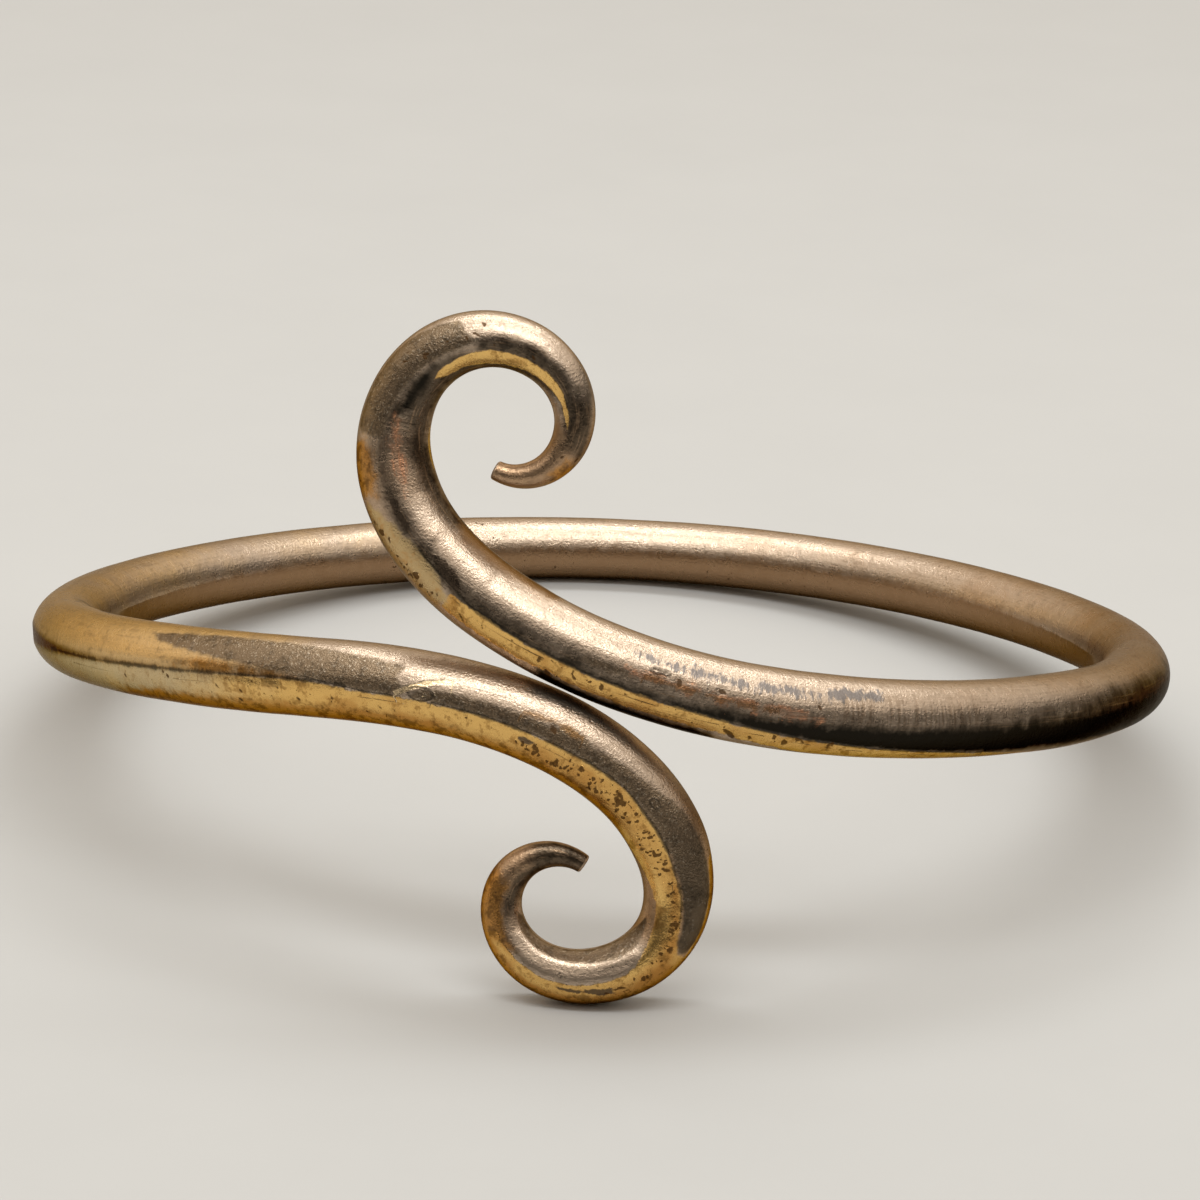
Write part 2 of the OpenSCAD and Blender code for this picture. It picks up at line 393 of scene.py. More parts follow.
class BangleStage(bpy.types.PropertyGroup):
    """Floor, lights and camera"""

    floor_side: length_property("Floor side", "Side of the square floor", 3000, 500, 9000)
    floor: colour_property("Floor", "Colour of the floor", (0.47, 0.46, 0.44))
    softbox_length: length_property("Softbox length", "Length of each soft light", 440, 50, 2000)
    softbox_width: length_property("Softbox width", "Width of each soft light", 70, 20, 2000)
    softbox_distance: length_property(
        "Softbox distance", "From the bangle's middle to each soft light", 420, 100, 2000)
    softbox_lean: angle_property(
        "Softbox lean", "Angle by which the two soft lights lean, to the front and back", 20)
    softbox_power: bpy.props.FloatProperty(
        name="Softbox power", description="Power of each soft light overhead",
        default=0.75, min=0.0, unit="POWER")
    sky: colour_property("Sky", "Broad dim light overhead", (1.0, 0.93, 0.84))
    sky_lean: angle_property("Sky's lean", "Angle by which the broad light's middle leans to the back", 8)
    light: colour_property("Light", "Colour of the soft lights", (0.91, 0.96, 1.0))
    room: colour_property("Room", "Light of the dark room in front", (0.035, 0.032, 0.028))
    wall: colour_property("Wall", "Warm light of the room's wall behind on the left", (0.86, 0.72, 0.50))
    focal_length: bpy.props.FloatProperty(
        name="Focal length", description="The camera's focal length for a sensor 36 mm wide",
        default=168.6, min=20.0)
    distance: length_property("Distance", "From the camera to the point that it looks at", 360.6, 50, 2000)
    elevation: angle_property("Elevation", "The camera's height angle", 21.06)
    azimuth: angle_property("Azimuth", "The camera's turn to the right of the front", 2.73)
    roll: angle_property("Roll", "The camera's turn about its own axis", 2.38)
    aim: bpy.props.FloatVectorProperty(
        name="Aim", description="Point that the camera looks at", size=3, subtype="TRANSLATION",
        default=(-0.32 * MM, 3.88 * MM, 10.11 * MM))


def smooth(x):
    """A soft step from 0 to 1."""
    x = np.clip(x, 0.0, 1.0)
    return x * x * (3.0 - 2.0 * x)


def softened(values, step, length):
    """Values along the rod with their corners rounded over a length."""
    half = max(1, int(length / step / 2))
    bell = np.hanning(2 * half + 3)[1:-1]
    return np.convolve(np.pad(values, half, mode="edge"), bell / bell.sum(), mode="valid")


def arm_plan(bends, reach, step):
    """Flat plan of an arm, in mm: place along it, u, z, heading and thickness."""
    place, bend = np.array(bends, float).T
    back, rod = np.array(TAPER, float).T
    s = np.linspace(0.0, place[-1], int(place[-1] / step) + 1)
    turn = np.radians(np.interp(s, place, bend))
    ds = np.diff(s)
    heading = math.pi - np.r_[0.0, np.cumsum((turn[1:] + turn[:-1]) / 2 * ds)]
    middle = (heading[1:] + heading[:-1]) / 2
    u = reach + np.r_[0.0, np.cumsum(np.cos(middle) * ds)]
    z = np.r_[0.0, np.cumsum(np.sin(middle) * ds)]
    return s, u, z, heading, softened(np.interp(place[-1] - s, back, rod), step, TAPER_SMOOTHING)


class RodLine:
    """The rod's middle line from the lower tip to the upper tip, in mm, before the bangle is laid down."""

    def __init__(self, sizes):
        radius, reach, rise = sizes.hoop_radius / MM, sizes.arm_reach / MM, sizes.back_rise / MM
        back, step = sizes.rod_back / MM, sizes.ring_step / MM
        s_up, u_up, z_up, heading_up, rod_up = arm_plan(UPPER_BENDS, reach, FINE_STEP)
        s_low, u_low, z_low, heading_low, rod_low = arm_plan(LOWER_BENDS, reach, FINE_STEP)
        half = math.pi * radius - reach
        part = np.linspace(1.0, -1.0, int(2 * half / FINE_STEP))[1:-1]
        slope = np.arctan(rise * math.pi / 2 / half * np.sin(math.pi * part))
        self.lower, self.hoop, self.upper = s_low[-1], 2 * half, s_up[-1]
        self.length = self.lower + self.hoop + self.upper
        place = np.r_[
            self.lower - s_low[::-1], self.lower + (1 - part) * half, self.lower + self.hoop + s_up]
        u = np.r_[2 * math.pi * radius - u_low[::-1], math.pi * radius + half * part, u_up]
        z = np.r_[-z_low[::-1], rise * (1 + np.cos(math.pi * part)) / 2, z_up]
        heading = np.r_[heading_low[::-1], math.pi - slope, heading_up]
        rod = np.r_[rod_low[::-1], back + (TAPER[-1][1] - back) * np.abs(part), rod_up]
        self.place = np.linspace(0.0, self.length, int(self.length / step) + 1)
        angle, z, heading, rod = (np.interp(self.place, place, v) for v in (u / radius, z, heading, rod))
        zero = np.zeros_like(angle)
        self.rod_radius = rod / 2
        self.out = np.stack([np.sin(angle), -np.cos(angle), zero], 1)
        self.along = np.stack(
            [np.cos(heading) * np.cos(angle), np.cos(heading) * np.sin(angle), np.sin(heading)], 1)
        self.side = np.cross(self.along, self.out)
        self.middle = radius * self.out + np.stack([zero, zero, z], 1)

    def arm_place(self, arm):
        """Place of each ring along an arm, negative before the arm starts."""
        if arm == "lower":
            return self.lower - self.place
        return self.place - self.lower - self.hoop

    def tone(self):
        """How golden the satin metal is at each ring."""
        low, high = self.arm_place("lower"), self.arm_place("upper")
        back = (self.place - self.lower) / self.hoop
        left, right = LOWER_TONE[0][1], UPPER_TONE[0][1]
        hoop = np.interp(back, (0.0, 0.5, 1.0), (left, BACK_TONE, right))
        tone = np.where(low > 0, np.interp(low, *zip(*LOWER_TONE)), hoop)
        return np.where(high > 0, np.interp(high, *zip(*UPPER_TONE)), tone)


def rotated(a, b, angle):
    """Two coordinates, or two directions, after a turn in their plane."""
    return math.cos(angle) * a + math.sin(angle) * b, math.cos(angle) * b - math.sin(angle) * a


def laid(points, sizes):
    """Points after the hoop is tilted and rolled to the way it lies."""
    x, y, z = points.T
    y, z = rotated(y, z, sizes.lay_tilt)
    x, z = rotated(x, z, sizes.lay_roll)
    return np.stack([x, y, z], 1)


def arc(degrees):
    """Length round the rod, in mm, for degrees round it."""
    return np.radians(degrees) * ARC_RADIUS


def stretch_distance(x, y, start, end):
    """Distance of each point from a straight stretch, its place along it from 0 to 1, and its side."""
    dx, dy = end[0] - start[0], end[1] - start[1]
    px, py = x - start[0], y - start[1]
    part = (px * dx + py * dy) / (dx * dx + dy * dy)
    near = np.clip(part, 0.0, 1.0)
    return np.hypot(px - near * dx, py - near * dy), part, np.sign(dx * py - dy * px)


def outline_depth(x, y, places):
    """How deep each point lies inside a closed outline, negative outside it."""
    depth = np.full(x.shape, np.inf)
    inside = np.zeros(x.shape, bool)
    for (ax, ay), (bx, by) in zip(places, places[1:] + places[:1]):
        depth = np.minimum(depth, stretch_distance(x, y, (ax, ay), (bx, by))[0])
        if ay != by:
            inside ^= ((ay > y) != (by > y)) & (x < (bx - ax) * (y - ay) / (by - ay) + ax)
    return np.where(inside, depth, -depth)


def line_offset(x, y, places):
    """Distance of each point from an open line, negative on its right, and large past its two ends."""
    best = np.full(x.shape, np.inf)
    offset = best.copy()
    last = len(places) - 2
    for number, (start, end) in enumerate(zip(places, places[1:])):
        distance, part, side = stretch_distance(x, y, start, end)
        past = (number == 0) & (part < 0.0) | (number == last) & (part > 1.0)
        offset = np.where(distance < best, np.where(past, np.inf, side * distance), offset)
        best = np.minimum(best, distance)
    return offset


def noise_field(points, size, seed):
    """Smooth noise at each point, about -1 to 1, with lumps of about the given size in mm."""
    shift = Vector([seed * part for part in NOISE_SHIFT])
    return np.array([noise.noise(Vector(p) / size + shift) for p in points])


class RodSkin:
    """Points on the rod's surface with the stains and marks that they carry."""

    def __init__(self, sizes):
        self.sizes = sizes
        self.line = line = RodLine(sizes)
        self.rings, self.sides = len(line.place), sizes.sides
        turn = np.linspace(0.0, 2 * math.pi, self.sides, endpoint=False)
        way = np.cos(turn)[:, None] * line.out[:, None] + np.sin(turn)[:, None] * line.side[:, None]
        self.way = way.reshape(-1, 3)
        self.radius = np.repeat(line.rod_radius, self.sides)
        self.middle = np.repeat(line.middle, self.sides, axis=0)
        self.round = np.tile(np.degrees((turn + math.pi) % (2 * math.pi) - math.pi), self.rings)
        self.arc = arc(self.round)
        self.arm = {arm: np.repeat(line.arm_place(arm), self.sides) for arm in ("lower", "upper")}
        self.unseen = smooth((np.abs(self.round) - UNSEEN_FROM) / UNSEEN_FADE)
        plain = self.middle + self.way * self.radius[:, None]
        self.lumps = noise_field(plain, LUMP, 1)
        self.ripples = noise_field(plain, RIPPLE, 2)
        self.patches = noise_field(plain, LARGE_PATCH, 3) + SMALL_SHARE * noise_field(plain, SMALL_PATCH, 4)
        self.marks = self.stains()
        self.marks["pitted"] = self.pitted()
        self.marks["tone"] = np.repeat(line.tone(), self.sides)
        self.lines = self.drawn_lines()
        self.pits = self.big_pits()
        self.height = self.relief()

    def near(self, arm, places, reach=STAIN_REACH):
        """The points beside a charted shape, their places in mm along and round, and the shape's own."""
        along = self.arm[arm]
        chosen = (along > min(a for a, b in places) - reach) & (along < max(a for a, b in places) + reach)
        return chosen, along[chosen], self.arc[chosen], [(a, float(arc(b))) for a, b in places]

    def stains(self):
        """How deep each point lies in each kind of stain and of painted dark reflection, in mm, negative
        outside it.
        """
        on_arm = np.maximum(self.arm["lower"], self.arm["upper"])
        guessed = self.unseen * smooth((on_arm - GUESSED_FROM) / GUESSED_FADE)
        fields = {}
        for kind, outlines in STAINS.items():
            field = np.full(self.round.shape, -STAIN_REACH)
            for arm, outline in outlines:
                chosen, x, y, shape = self.near(arm, outline)
                field[chosen] = np.maximum(field[chosen], outline_depth(x, y, shape))
            field = np.clip(field, -STAIN_REACH, STAIN_REACH)
            if kind in GUESSED:
                sign, level = GUESSED[kind]
                wild = np.clip(sign * self.patches - level, -STAIN_REACH, STAIN_REACH)
                field = field * (1 - guessed) + wild * guessed
            fields[kind] = field
        return fields

    def drawn_lines(self):
        """Offset of each point from the drawn lines and the rings' rims, in the line's half widths."""
        fields = {kind: np.full(self.round.shape, LINE_REACH) for kind in LINE_EDGES}

        def draw(kind, chosen, offset):
            """Keep the offset from the nearest line of its kind."""
            before = fields[kind][chosen]
            fields[kind][chosen] = np.where(np.abs(offset) < np.abs(before), offset, before)

        for kind, lines in LINES.items():
            for arm, half, places in lines:
                chosen, x, y, shape = self.near(arm, places)
                draw(kind, chosen, line_offset(x, y, shape) / half)
        for arm, place, degrees, half_length, half_height in RINGS:
            chosen, x, y, shape = self.near(arm, [(place, degrees)])
            far = np.hypot((x - place) / half_length, (y - shape[0][1]) / half_height) - 1.0
            draw("rim", chosen, far * min(half_length, half_height) / RIM)
        return fields

    def pitted(self):
        """How thickly the metal is pitted at each point."""
        field = UNSEEN_PITS * self.unseen * smooth(self.patches + 0.5)
        for arm, amount, outline in PITTED:
            chosen, x, y, shape = self.near(arm, outline)
            inside = smooth(outline_depth(x, y, shape) / PITTED_EDGE + PITTED_START)
            field[chosen] = np.maximum(field[chosen], inside * amount)
        return field

    def big_pits(self):
        """Depth of the pits that are cut into the mesh, from 0 to 1."""
        dice = random.Random(PIT_SEED)
        depth = np.zeros(self.round.shape)
        for arm, amount, outline in PITTED:
            shape = np.array([(a, arc(b)) for a, b in outline])
            low, high = shape.min(0), shape.max(0)
            place = self.line.arm_place(arm)
            for _ in range(int(np.prod(high - low) * amount * PIT_CROWD)):
                at, turned = dice.uniform(low[0], high[0]), dice.uniform(low[1], high[1])
                size = PIT_RADIUS + PIT_SPREAD * dice.random() ** 3
                stretch = dice.uniform(*PIT_STRETCH)
                lean = dice.uniform(*PIT_LEAN)
                strength = dice.uniform(*PIT_SHARE)
                rows = np.nonzero(np.abs(place - at) < PIT_REACH * size)[0]
                inside = outline_depth(np.array([at]), np.array([turned]), shape.tolist())[0] >= 0
                if len(rows) == 0 or not inside:
                    continue
                points = slice(rows[0] * self.sides, (rows[-1] + 1) * self.sides)
                across = self.arc[points] - turned
                along = self.arm[arm][points] - at + lean * across
                far = np.hypot(along / size, across / (size * stretch))
                depth[points] = np.maximum(depth[points], smooth(PIT_EDGE - far) * strength)
        return depth

    def relief(self):
        """Height of the surface over the plain rod, in mm."""
        height = self.sizes.waviness / MM * (self.lumps + WAVY_RIPPLES * self.ripples)
        for arm, half, rise, places in HAMMERED:
            chosen, x, y, shape = self.near(arm, places, 2 * half)
            far = np.abs(line_offset(x, y, shape)) / half
            rippled = 1 + HAMMERED_RIPPLES * self.ripples[chosen]
            height[chosen] += rise * smooth(HAMMERED_EDGE - far) * rippled
        height -= PIT_DEPTH * self.pits
        for kind, (rise, edge) in STAIN_RISE.items():
            height += rise * smooth(self.marks[kind] / edge + 0.5)
        return height * np.minimum(1.0, self.radius / FULL_RELIEF)

    def points(self):
        """The surface's points, in mm, before the bangle is laid down."""
        return self.middle + self.way * (self.radius + self.height)[:, None]


def end_rings(skin, ring):
    """Rings that close one cut end, the rounded bevel and then the flat face, and the face's middle."""
    sign = -1.0 if ring == 0 else 1.0
    line = skin.line
    bevel = skin.sizes.tip_bevel / MM
    centre = line.middle[ring]
    spread = skin.points()[ring * skin.sides:(ring + 1) * skin.sides] - centre
    forward = line.along[ring] * sign * bevel
    shrink = bevel / line.rod_radius[ring]
    bevel_rings = []
    for number in range(1, BEVEL_RINGS + 1):
        angle = number / BEVEL_RINGS * math.pi / 2
        smaller = spread * (1 - shrink * (1 - math.cos(angle)))
        bevel_rings.append(centre + smaller + forward * math.sin(angle))
    face_rings = [centre + forward + spread * (1 - shrink) * part for part in FACE_RINGS]
    return bevel_rings, face_rings, centre + forward


def rod_faces(skin):
    """The rod's faces, the points that close its ends, and the two runs of faces that are cut metal."""
    sides = skin.sides
    k = np.arange(sides)
    following = (k + 1) % sides
    pairs = list(zip(k, following))
    starts = np.arange(skin.rings - 1)[:, None] * sides
    quads = np.stack([starts + k, starts + sides + k, starts + sides + following, starts + following], 2)
    faces = quads.reshape(-1, 4).tolist()
    extra, cuts = [], []
    for ring in (0, skin.rings - 1):
        bevel_rings, face_rings, face_middle = end_rings(skin, ring)
        turned = slice(None, None, -1) if ring == 0 else slice(None)
        previous = ring * sides
        for loop in bevel_rings + face_rings:
            start = skin.rings * sides + len(extra)
            extra.extend(loop)
            faces += [(previous + a, start + a, start + b, previous + b)[turned] for a, b in pairs]
            previous = start
        middle = skin.rings * sides + len(extra)
        faces += [(previous + a, middle, previous + b)[turned] for a, b in pairs]
        extra.append(face_middle)
        cuts.append(slice(len(faces) - (len(face_rings) + 1) * sides, len(faces)))
    return faces, extra, cuts


def store(mesh, name, values):
    """Keep a value or a vector for each point of the mesh."""
    kind, part = ("FLOAT_VECTOR", "vector") if values.ndim == 2 else ("FLOAT", "value")
    mesh.attributes.new(name, kind, "POINT").data.foreach_set(part, values.astype(np.float32).ravel())


def store_marks(mesh, skin, extra):
    """Keep the stains, the lines and the place on the rod for each point of the mesh."""
    for kind, field in {**skin.marks, "pits": skin.pits}.items():
        outside = -STAIN_REACH if kind in STAINS else 0.0
        store(mesh, kind, np.r_[field, np.full(len(extra), outside)])
    for kind, offset in skin.lines.items():
        offset = np.r_[offset, np.full(len(extra), LINE_REACH)]
        store(mesh, kind, np.stack([offset, np.abs(offset), np.zeros_like(offset)], 1))
    turn = np.radians(skin.round)
    place = np.repeat(skin.line.place, skin.sides)
    rod = np.stack([place, np.cos(turn) * skin.radius, np.sin(turn) * skin.radius], 1)
    store(mesh, "rod", np.vstack([rod, np.array(extra) * CUT_BRUSHING]))


def bangle_mesh(sizes):
    """The rod as one closed mesh in metres, laid down, with its stains as attributes."""
    skin = RodSkin(sizes)
    faces, extra, cuts = rod_faces(skin)
    points = laid(np.vstack([skin.points(), np.array(extra)]), sizes)
    low, high = points.min(0), points.max(0)
    middle = (np.array(cad_low) + np.array(cad_high)) / 2 / MM
    shift = np.array([middle[0] - (low[0] + high[0]) / 2, middle[1] - (low[1] + high[1]) / 2, -low[2]])
    mesh = bpy.data.meshes.new("bangle_rod")
    mesh.from_pydata(((points + shift) * MM).tolist(), [], faces)
    mesh.polygons.foreach_set("use_smooth", np.ones(len(faces), bool))
    slots = np.zeros(len(faces), int)
    for cut in cuts:
        slots[cut] = 1
    mesh.polygons.foreach_set("material_index", slots)
    store_marks(mesh, skin, extra)
    mesh.update()
    return mesh


class Nodes:
    """Places nodes in a tree, and links them."""

    def __init__(self, tree):
        self.tree = tree

    def add(self, kind, settings=None, inputs=None):
        """A node with its settings and inputs: an output socket is linked, anything else is a value."""
        node = self.tree.nodes.new(kind)
        for key, value in (settings or {}).items():
            setattr(node, key, value)
        for key, value in (inputs or {}).items():
            self.feed(node.inputs[key], value)
        return node

    def feed(self, socket, value):
        """Link or set one input socket."""
        if isinstance(value, bpy.types.NodeSocket):
            self.tree.links.new(value, socket)
        elif socket.type == "RGBA":
            socket.default_value = (*value, 1.0)
        else:
            socket.default_value = value

    def maths(self, operation, a, b=0.0, c=0.0):
        """One Math node."""
        return self.add("ShaderNodeMath", {"operation": operation}, {0: a, 1: b, 2: c}).outputs[0]

    def times(self, a, b):
        """One value multiplied by another."""
        return self.maths("MULTIPLY", a, b)

    def summed(self, *terms):
        """The sum of some terms, each a value and its weight."""
        total = 0.0
        for value, weight in terms:
            total = self.maths("MULTIPLY_ADD", value, weight, total)
        return total

    def vector(self, operation, a, b, output="Vector"):
        """One Vector Math node."""
        return self.add("ShaderNodeVectorMath", {"operation": operation}, {0: a, 1: b}).outputs[output]

    def scaled(self, vector, factors):
        """A vector with each part multiplied."""
        return self.vector("MULTIPLY", vector, factors)

    def step(self, value, low, high, top=1.0):
        """A soft step from 0 at low to its top at high."""
        return self.add("ShaderNodeMapRange", {"interpolation_type": "SMOOTHSTEP"}, {
            "Value": value, "From Min": low, "From Max": high, "To Min": 0.0, "To Max": top}).outputs[0]

    def grain(self, vector, scale, detail=3.0, roughness=0.55):
        """One Noise Texture, 0 to 1."""
        return self.add("ShaderNodeTexNoise", {"noise_dimensions": "3D"}, {
            "Vector": vector, "Scale": scale, "Detail": detail, "Roughness": roughness}).outputs["Fac"]

    def blend(self, mask, under, over):
        """Two colours mixed by a mask."""
        return self.add("ShaderNodeMix", {"data_type": "RGBA"}, {0: mask, 6: under, 7: over}).outputs[2]

    def level(self, mask, under, over):
        """Two values mixed by a mask."""
        return self.add("ShaderNodeMix", {"data_type": "FLOAT"}, {0: mask, 2: under, 3: over}).outputs[0]

    def attribute(self, name, output="Fac"):
        """A mesh attribute."""
        return self.add("ShaderNodeAttribute", {"attribute_name": name}).outputs[output]

    def group(self, group, **inputs):
        """A node group in use: its outputs."""
        return self.add("ShaderNodeGroup", {"node_tree": group}, inputs).outputs


def new_group(name, inputs, outputs):
    """An empty shader node group with its named sockets: the group, its Nodes and what it is given."""
    group = bpy.data.node_groups.new(name, "ShaderNodeTree")
    for label, kind in inputs:
        group.interface.new_socket(label, in_out="INPUT", socket_type=kind)
    for label, kind in outputs:
        group.interface.new_socket(label, in_out="OUTPUT", socket_type=kind)
    nodes = Nodes(group)
    return group, nodes, nodes.add("NodeGroupInput").outputs


FLOAT, VECTOR = "NodeSocketFloat", "NodeSocketVector"


def ragged_group():
    """Turns a stain's depth into a mask with a ragged edge."""
    group, n, given = new_group(
        "Ragged stain",
        [("Depth", FLOAT), ("Place", VECTOR), ("Raggedness", FLOAT), ("Softness", FLOAT)],
        [("Mask", FLOAT)])
    coarse = n.maths("SUBTRACT", n.grain(given["Place"], 1100.0, 4.0, 0.6), 0.5)
    fine = n.maths("SUBTRACT", n.grain(given["Place"], 4800.0, 2.0, 0.6), 0.5)
    wander = n.summed((coarse, 4.0), (fine, 1.2))
    moved = n.summed((given["Depth"], 1.0), (wander, given["Raggedness"]))
    mask = n.step(moved, n.times(given["Softness"], -1.0), given["Softness"])
    n.add("NodeGroupOutput", inputs={"Mask": mask})
    return group


def brushing_group():
    """Fine marks in the metal: streaks along the rod, chatter across it and grit all over."""
    group, n, given = new_group(
        "Brushing",
        [("Rod", VECTOR), ("Place", VECTOR)],
        [("Streaks", FLOAT), ("Chatter", FLOAT), ("Grit", FLOAT), ("Mottle", FLOAT), ("Cloud", FLOAT)])
    n.add("NodeGroupOutput", inputs={
        "Streaks": n.grain(n.scaled(given["Rod"], (0.25, 7.0, 7.0)), 1.0, 4.0, 0.6),
        "Chatter": n.grain(n.scaled(given["Rod"], (5.5, 0.35, 0.35)), 1.0, 1.0, 0.5),
        "Grit": n.grain(given["Place"], 6500.0, 2.0, 0.7),
        "Mottle": n.grain(given["Place"], 1500.0, 4.0, 0.7),
        "Cloud": n.grain(given["Place"], 260.0, 4.0, 0.6)})
    return group


def pitting_group():
    """Small pits of two sizes: a mask that is 1 inside them."""
    group, n, given = new_group(
        "Pitting", [("Rod", VECTOR), ("Place", VECTOR), ("Amount", FLOAT)], [("Mask", FLOAT)])
    wander = n.add("ShaderNodeTexNoise", inputs={"Vector": given["Place"], "Scale": 3000.0, "Detail": 2.0})
    masks = []
    for density, widest in ((2.1, 0.55), (4.6, 0.62)):
        stretched = n.scaled(given["Rod"], (density, density * 0.65, density * 0.65))
        bent = n.vector("ADD", stretched, wander.outputs["Color"])
        cells = n.add("ShaderNodeTexVoronoi", {"feature": "F1"}, {"Vector": bent, "Scale": 1.0})
        chance = n.add("ShaderNodeSeparateColor", inputs={"Color": cells.outputs["Color"]}).outputs[0]
        reach = n.times(given["Amount"], widest)
        reach = n.times(n.times(chance, chance), reach)
        masks.append(n.step(n.maths("SUBTRACT", reach, cells.outputs["Distance"]), -0.02, 0.1))
    n.add("NodeGroupOutput", inputs={"Mask": n.maths("MAXIMUM", *masks)})
    return group


def new_material(name, nodes, *given):
    """A new material, and the object that places its nodes."""
    material = bpy.data.materials.new(name)
    material.use_nodes = True
    material.node_tree.nodes.clear()
    return material, nodes(material.node_tree, *given)


def dimmed(colour, part):
    """A part of a colour's brightness."""
    return [c * part for c in colour]


class BronzeNodes(Nodes):
    """The aged bronze's masks and fine marks, and the colour, roughness and height that they give."""

    def __init__(self, tree, colours, groups):
        super().__init__(tree)
        self.colours, self.ragged = colours, groups["ragged"]
        self.place = self.add("ShaderNodeTexCoord").outputs["Object"]
        self.rod = self.attribute("rod", "Vector")
        brushing = self.group(groups["brushing"], Rod=self.rod, Place=self.place)
        self.streaks, self.chatter, self.grit, self.mottle, self.cloud = (
            brushing[k] for k in ("Streaks", "Chatter", "Grit", "Mottle", "Cloud"))
        self.stains = {kind: self.stain(kind) for kind in STAINS}
        self.lines = {kind: self.line(kind) for kind in LINE_EDGES}
        pitted = self.attribute("pitted")
        pitting = self.group(groups["pitting"], Rod=self.rod, Place=self.place, Amount=pitted)
        self.small_pits = pitting["Mask"]
        rough_pits = self.summed((self.attribute("pits"), 1.0), (self.centred(self.grit), 0.5))
        self.pits = self.maths("MAXIMUM", self.small_pits, self.step(rough_pits, 0.28, 0.52))
        self.engraved = self.maths("MAXIMUM", self.lines["groove"], self.lines["rim"])
        self.tone = self.maths("ADD", self.attribute("tone"), self.centred(self.cloud))
        self.speckle = self.summed((self.grit, 0.7), (self.mottle, 0.3))

    def centred(self, value):
        """A noise moved from 0 to 1 to the same on both sides of 0."""
        return self.maths("SUBTRACT", value, 0.5)

    def stain(self, kind):
        """Where one kind of stain lies."""
        raggedness, softness, strength = STAIN_EDGES[kind]
        where = self.place
        if kind in EDGE_GRAIN:
            where = self.scaled(self.rod, [part * MM for part in EDGE_GRAIN[kind]])
        mask = self.group(
            self.ragged, Depth=self.attribute(kind), Place=where, Raggedness=raggedness, Softness=softness)
        return self.times(mask["Mask"], strength)

    def line(self, kind):
        """Where one kind of line is drawn: between its sides, and only close to it."""
        raggedness, softness, strength = LINE_EDGES[kind]
        offset = self.attribute(kind, "Vector")
        parts = self.add("ShaderNodeSeparateXYZ", inputs={"Vector": offset}).outputs
        within = self.maths("SUBTRACT", 1.0, self.maths("ABSOLUTE", parts["X"]))
        mask = self.group(
            self.ragged, Depth=self.times(within, RIM), Place=self.place,
            Raggedness=raggedness, Softness=softness)
        close = self.step(parts["Y"], LINE_REACH - 0.5, LINE_REACH - 1.5, strength)
        return self.times(mask["Mask"], close)

    def layered(self, colour, layers):
        """A colour with layers over it, each a mask and a colour, the lowest first."""
        for mask, over in layers:
            colour = self.blend(mask, colour, over)
        return colour

    def satin(self):
        """Satin metal, brown to gold by its tone, with darker brush marks, specks and chatter."""
        c = self.colours
        uneven = self.summed((self.mottle, 0.6), (self.streaks, 0.4))
        hatched = self.times(self.stains["chatter"], self.step(self.chatter, 0.48, 0.6, 0.6))
        return self.layered(c.brown, (
            (self.step(self.tone, -0.8, 0.0), c.taupe),
            (self.step(self.tone, 0.1, 0.9), c.gold_satin),
            (self.step(uneven, 0.46, 0.68, 0.4), dimmed(c.brown, 0.42)),
            (self.step(self.speckle, 0.55, 0.66, 0.35), dimmed(c.brown, 0.3)),
            (hatched, dimmed(c.brown, 0.5))))

    def golden(self):
        """Metal rubbed bare, gold or a dull straw by its tone, with amber clouds and specks."""
        c = self.colours
        dull = self.step(self.tone, 0.3, 1.0)
        lively = self.level(dull, 1.0, 0.35)
        return self.layered(c.gold, (
            (dull, c.straw),
            (self.times(self.step(self.cloud, 0.47, 0.64, 0.6), lively), c.amber),
            (self.times(self.attribute("pitted"), 0.4), c.amber),
            (self.times(self.step(self.mottle, 0.52, 0.64, 0.6), lively), dimmed(c.amber, 0.6)),
            (self.step(self.speckle, 0.56, 0.66, 0.4), dimmed(c.amber, 0.4))))

    def oxidised(self):
        """Oxide with paler grains, darker in spots and where the tone is brown."""
        c = self.colours
        grains = self.summed((self.grit, 1.0), (self.mottle, 0.5))
        return self.layered(c.oxide, (
            (self.step(grains, 0.8, 0.98), c.oxide_grain),
            (self.step(self.mottle, 0.48, 0.64, 0.7), dimmed(c.oxide, 0.4)),
            (self.step(self.tone, -0.3, -0.9, 0.5), c.tarnish_and_dark_reflection),
            (self.step(self.tone, -0.7, -1.3, 0.7), c.dark)))

    def tarnish_and_dark_reflection_colour(self):
        """Brown tarnish and painted dark reflection, with dark spots, worn along the brush marks."""
        c = self.colours
        return self.layered(c.tarnish_and_dark_reflection, (
            (self.step(self.mottle, 0.5, 0.62, 0.75), c.dark),
            (self.step(self.streaks, 0.54, 0.66, 0.4), c.brown)))

